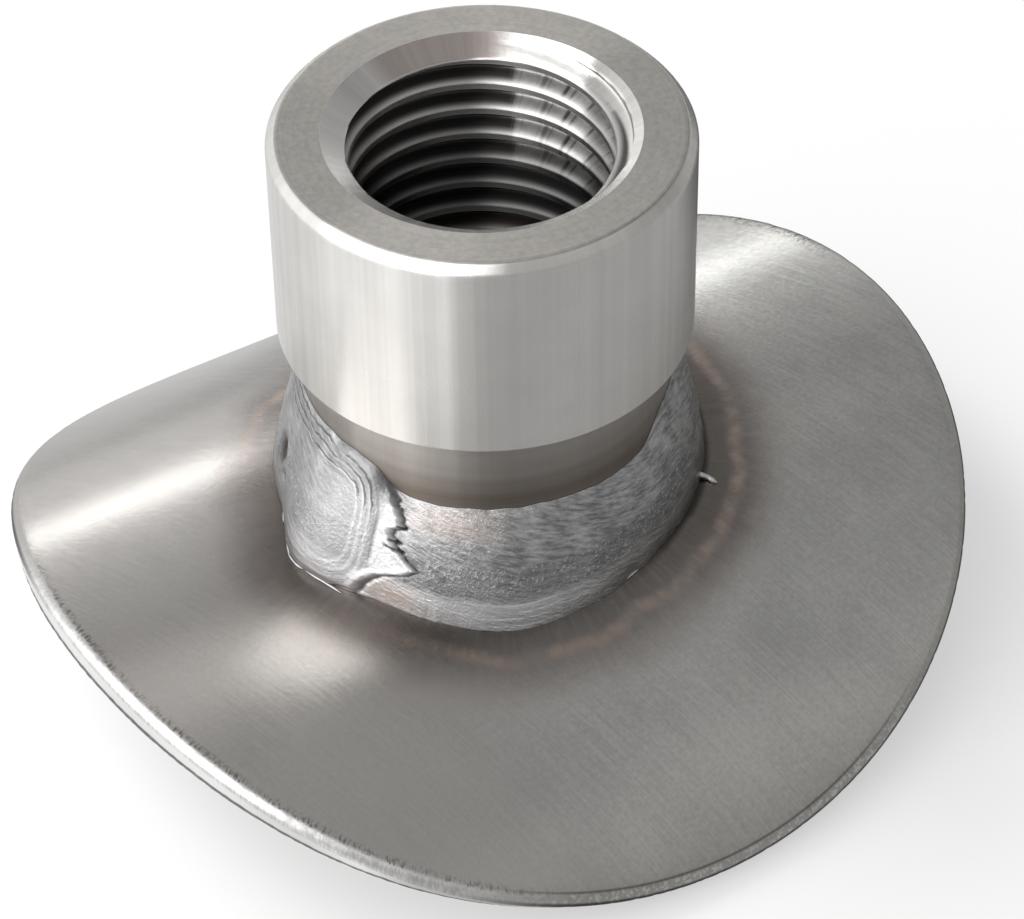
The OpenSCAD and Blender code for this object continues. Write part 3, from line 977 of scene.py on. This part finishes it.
        # Start of the run: a rough band between an upper streaked one and a smooth roll at the toe
        first = (1 - lapped) * (1 - far)
        rough = (even_noise(weld.seed + 6, along / 0.42 + k * 8, k * 15 - along / 0.9)
                 + 0.7 * even_noise(weld.seed + 7, along / 0.2 - k * 11, k * 28 + along / 0.5))
        middle = span(k, (0.46, 0.54), (0.66, 0.76))
        roll = bell(k, 0.87, 0.08) - 0.7 * bell(k, 0.73, 0.05)
        lift = lift + MM * open_edge * first * (0.016 * rough * middle + 0.012 * roll)
        uneven = even_noise(weld.seed + 9, along / 1.6 + k * 3, k * 8 - along / 2.3)
        lift = lift + 0.012 * MM * open_edge * uneven

        r = bore + run * k + lift * np.cos(slope) + toe_wave(weld, a) * rise_over(k, 0.75, 1)
        z = top - rise * k + lift * np.sin(slope)
        z = np.maximum(z, sheet_z(r))
        under = [r[-1] + (bore - r[-1]) * i / foot for i in range(1, foot + 1)]
        r = np.concatenate([r, under])
        spread = np.radians(np.broadcast_to(a[0], r.shape))
        z = np.concatenate([z, [sheet_z(row)[0] for row in under]])
        points = np.stack([r * np.cos(spread), r * np.sin(spread), z], -1)

        def carried(values, last):
            """Values up the face, and one value along the foot."""
            return np.concatenate([values, np.full((foot, count), last)])

        # Where the weld's face takes painted shade: creases, cracks, folds and pits
        crevice_shade = crease * (1 - lapped) * rise_over(k, 0.02, 0.1) + 1.2 * cracks + 0.35 * fold + 1.6 * pit
        piece = mesh_piece("rippled_weld", points, ring_faces(len(points), count), {
            "along": carried(along, 0), "across": carried(k, 1), "lap": carried(lapped, 0),
            "crack": carried(np.clip(crevice_shade, 0, 1), 0), "nest": carried(nest, 3),
            "ripple": carried(np.clip(ripple * open_edge + lip, 0, 1), 0)})
        close_up(piece, crease=50)
        settle(piece, "weld_bead", weld_metal(weld))
        return {"FINISHED"}


class BUNG_OT_spatter(bpy.types.Operator):
    """Make the strands and drops of weld metal that stick to the plate beside the weld"""

    bl_idname = "bung.spatter"
    bl_label = "Weld spatter"

    def execute(self, context):
        scene = context.scene
        weld, plate, neck_r = scene.bung_weld, scene.bung_plate, scene.bung_boss.neck_r
        out_r = plate.pipe_r + plate.sheet_t
        axis_z = plate.crest_z - out_r

        def on_sheet(x, y, lift):
            """Point over the sheet's upper face, from millimetres."""
            return (x * MM, y * MM, axis_z + math.sqrt(out_r ** 2 - (y * MM) ** 2) + lift * MM)

        # Strands, point by point: x, y, height over the sheet and girth, in millimetres. First a bent tick
        strands = [[(7.6, -6.5, .35, .1), (7.95, -6.8, .3, .14), (8.3, -7.05, .2, .12), (8.5, -7.3, .1, .13),
                    (8.62, -7.45, .05, .05)]]
        # Then burrs along the toe: direction and turn in degrees, how far off the toe each end lies, height
        for first, turn, near, off, lift in (
                (-190, 8, -.05, .08, .05), (-179, 7, -.03, .1, .06), (-173, 6, .1, 0, .04),
                (-166, 10, -.03, .35, .05), (-82, 15, -.06, -.02, .12)):
            burr = []
            for part, girth in ((0, .015), (.25, .05), (.5, .04), (.75, .055), (1, .01)):
                a = first + turn * part
                r = weld_toe(weld, neck_r, a) / MM + near + (off - near) * part ** 2
                burr.append((r * math.cos(math.radians(a)), r * math.sin(math.radians(a)), lift, girth))
            strands.append(burr)
        points, edges, girths, drops = [], [], [], []
        for strand in strands:
            for i, (x, y, lift, girth) in enumerate(strand):
                if i:
                    edges.append((len(points) - 1, len(points)))
                points.append(on_sheet(x, y, lift))
                girths.append(girth * MM)
                drops.append(0.0)
        # A few drops on the far side, close to the toe
        scatter = np.random.default_rng(weld.seed)
        for _ in range(weld.drops):
            a = math.radians(DROPS_AT + DROPS_SPREAD * scatter.uniform(-1, 1))
            r = weld_toe(weld, neck_r, np.degrees(a)) / MM + scatter.exponential(0.15)
            points.append(on_sheet(r * math.cos(a), r * math.sin(a), 0.0))
            girths.append(scatter.uniform(0.03, 0.05) * MM)
            drops.append(1.0)
        piece = mesh_piece("weld_spatter", points, [], {"girth": girths, "drop": drops})
        piece.data.edges.add(len(edges))
        piece.data.edges.foreach_set("vertices", np.array(edges).ravel())
        material = bpy.data.materials["weld_metal"]
        grow(piece, spatter_tree(), {"Sides": 8, "Seed": weld.seed, "Material": material})
        close_up(piece, crease=60)
        for label, value in (("lap", 1.0), ("across", 0.5), ("ripple", 0.6)):
            store = piece.data.attributes.new(label, "FLOAT", "POINT")
            store.data.foreach_set("value", np.full(len(piece.data.vertices), value, np.float32))
        settle(piece, None, material)
        return {"FINISHED"}


class BUNG_OT_stage(bpy.types.Operator):
    """Make the floor, the lamps, the surroundings and the camera"""

    bl_idname = "bung.stage"
    bl_label = "Studio"

    def execute(self, context):
        scene, stage = context.scene, context.scene.bung_stage
        ahead = Vector((math.sin(stage.heading), math.cos(stage.heading), 0))
        aside = Vector((ahead.y, -ahead.x, 0))
        corners = ((-1, -1), (1, -1), (1, 1), (-1, 1))
        corners = [(x * FLOOR_HALF, y * FLOOR_HALF, FLOOR_Z) for x, y in corners]
        floor = mesh_piece("studio_floor", corners, [(0, 1, 2, 3)])
        floor.data.materials.append(self.floor_finish(stage, ahead, aside))

        # Lamps: azimuth, elevation, distance, width and height
        self.lamp("left_softbox", stage.key, ahead, aside, -128, 47, 0.5, 0.62, 0.58)
        self.lamp("back_strip", stage.strip, ahead, aside, -9, 21, 0.5, 0.17, 0.03)
        softbox = self.lamp("floor_softbox", stage.floor_light, ahead, aside, -60, 45, 0.7, 0.35, 0.35)
        softbox.visible_glossy = False
        self.surround(scene, ahead, aside)

        camera = bpy.data.objects.new("camera", bpy.data.cameras.new("camera"))
        scene.collection.objects.link(camera)
        camera.data.sensor_fit = "HORIZONTAL"
        camera.data.sensor_width = SENSOR_W
        camera.data.lens = stage.lens
        camera.data.clip_start = 0.01
        forward = ahead * math.cos(stage.pitch) - Vector((0, 0, math.sin(stage.pitch)))
        up = aside.cross(forward)
        right = aside * math.cos(stage.roll) + up * math.sin(stage.roll)
        up = right.cross(forward)
        turn = Matrix((right, up, -forward)).transposed().to_4x4()
        camera.matrix_world = Matrix.Translation(CAMERA_AT) @ turn
        scene.camera = camera
        scene.view_settings.view_transform = "Standard"
        return {"FINISHED"}

    def lamp(self, name, radiance, ahead, aside, azimuth, elevation, far, width, height):
        """Soft area lamp that faces the object."""
        raised = math.radians(elevation)
        way = studio_way(ahead, aside, azimuth, math.cos(raised), math.sin(raised))
        light = bpy.data.lights.new(name, "AREA")
        light.shape = "RECTANGLE"
        light.size, light.size_y = width, height
        light.energy = radiance * math.pi * width * height
        lamp = bpy.data.objects.new(name, light)
        bpy.context.scene.collection.objects.link(lamp)
        lamp.location = MIDDLE + way * far
        lamp.rotation_euler = way.to_track_quat("Z", "Y").to_euler()
        lamp.visible_camera = False
        return lamp

    def floor_finish(self, stage, ahead, aside):
        """Pale matte floor: white with its shadow to the camera, and shaded by direction in the metal."""
        material = bpy.data.materials.new("studio_floor")
        material.use_nodes = True
        material.node_tree.nodes.clear()
        start = Wire(material.node_tree)
        _, x, y, _ = in_mm(start)
        round_it = start.math("ARCTAN2", x * aside.x + y * aside.y, x * ahead.x + y * ahead.y)
        # Azimuth in the studio, and how bright the floor is in the metal on that side
        levels = (
            (-180, 0.44), (-169, 0.55), (-166, 0.7), (-161, 0.98), (-154, 0.78), (-146, 0.84), (-140, 1.0),
            (-128, 1.0), (-120, 0.88), (-114, 1.0), (-102, 1.0), (-91, 0.88), (-78, 0.8), (-31, 0.79),
            (0, 0.24), (31, 0.05), (53, 0.2), (68, 0.42), (180, 0.42))
        stops = greys((azimuth / 360 + 0.5, level) for azimuth, level in levels)
        shade = start.make("ShaderNodeValToRGB", {"stops": stops},
                           {0: round_it / (2 * math.pi) + 0.5}, "Color")
        camera = start.make("ShaderNodeLightPath", None, None, "Is Camera Ray")
        in_metal = camera.also("Is Glossy Ray").most(camera.also("Is Transmission Ray"))
        matte = start.make("ShaderNodeBsdfDiffuse", None, {"Color": (*stage.floor, 1)})
        white = start.make("ShaderNodeEmission", None, {"Color": (1, 1, 1, 1), "Strength": stage.floor_glow})
        shaded = start.make("ShaderNodeBsdfDiffuse", None, {"Color": (*toned(stage.floor, FLOOR_SHARE), 1)})
        pale = start.make("ShaderNodeAddShader", None, {0: shaded, 1: white})
        reflected = start.make("ShaderNodeEmission", None, {"Color": shade, "Strength": 1.0})
        direct = start.make("ShaderNodeMixShader", None, {0: camera, 1: matte, 2: pale})
        both = start.make("ShaderNodeMixShader", None, {0: in_metal, 1: direct, 2: reflected})
        start.make("ShaderNodeOutputMaterial", None, {"Surface": both})
        return material

    def surround(self, scene, ahead, aside):
        """White backdrop under a greyer ceiling, with brighter and dimmer patches."""
        world = bpy.data.worlds.new("studio")
        scene.world = world
        world.use_nodes = True
        world.node_tree.nodes.clear()
        start = Wire(world.node_tree)
        way = start.make("ShaderNodeTexCoord", None, None, "Generated")
        up = start.make("ShaderNodeSeparateXYZ", None, {0: way}, "Z")
        # Height in the room, as the sine of the elevation, and how bright the room is there
        levels = ((0.0, 1.0), (0.30, 0.97), (0.5, 0.85), (0.70, 0.62), (0.83, 0.43), (1.0, 0.5))
        room = start.make("ShaderNodeValToRGB", {"stops": greys(levels)}, {0: up}, "Color")

        def facing(azimuth, level=1.0, height=0.0):
            """How far each direction of the room points the given way."""
            spot = studio_way(ahead, aside, azimuth, level, height)
            return start.make("ShaderNodeVectorMath", {"operation": "DOT_PRODUCT"},
                              {0: way, 1: spot}, "Value")

        # A dim corner behind on the right, bright patches above and on the left, and a dim near right side
        room = (facing(42, 0.86, 0.5).between(0.75, 0.97) * 0.65).tinted(room, (0.12, 0.12, 0.12))
        room = (facing(8, 0.407, 0.914).between(0.981, 0.998) * 0.8).tinted(room, (0.95, 0.94, 0.93))
        room = facing(-78, 0.927, 0.375).between(0.9, 0.98).tinted(room, (1.3, 1.3, 1.3))
        dim = facing(130).between(0.1, 0.55) * (1 - up.between(0.5, 0.8)) * 0.8
        room = dim.tinted(room, (0.24, 0.23, 0.22))
        direct = start.make("ShaderNodeLightPath", None, None, "Is Camera Ray")
        room = direct.tinted(room, (1.0, 1.0, 1.0))
        light = start.make("ShaderNodeBackground", None, {"Color": room, "Strength": 1.0})
        start.make("ShaderNodeOutputWorld", None, {"Surface": light})


class BUNG_PT_panel(bpy.types.Panel):
    """Sizes and colours of the weld bung"""

    bl_label = "Weld bung"
    bl_space_type = "VIEW_3D"
    bl_region_type = "UI"
    bl_category = "Weld bung"

    def draw(self, context):
        for group, operators in GROUPS:
            settings = getattr(context.scene, group)
            box = self.layout.box()
            for operator in operators:
                box.operator(operator)
            for name in settings.__annotations__:
                box.prop(settings, name)


GROUPS = (
    ("bung_boss", ("bung.boss",)),
    ("bung_plate", ("bung.plate",)),
    ("bung_weld", ("bung.weld", "bung.spatter")),
    ("bung_stage", ("bung.stage",)),
)
SETTINGS = (BossSettings, PlateSettings, WeldSettings, StageSettings)
OPERATORS = (BUNG_OT_boss, BUNG_OT_plate, BUNG_OT_weld, BUNG_OT_spatter, BUNG_OT_stage)
CLASSES = SETTINGS + OPERATORS + (BUNG_PT_panel,)


def register():
    for kind in CLASSES:
        bpy.utils.register_class(kind)
    for (group, _), kind in zip(GROUPS, SETTINGS):
        setattr(bpy.types.Scene, group, PointerProperty(type=kind))


def unregister():
    for group, _ in GROUPS:
        delattr(bpy.types.Scene, group)
    for kind in reversed(CLASSES):
        bpy.utils.unregister_class(kind)


def main():
    register()
    bpy.ops.bung.boss()
    bpy.ops.bung.plate()
    bpy.ops.bung.weld()
    bpy.ops.bung.spatter()
    bpy.ops.bung.stage()


if __name__ == "__main__":
    main()
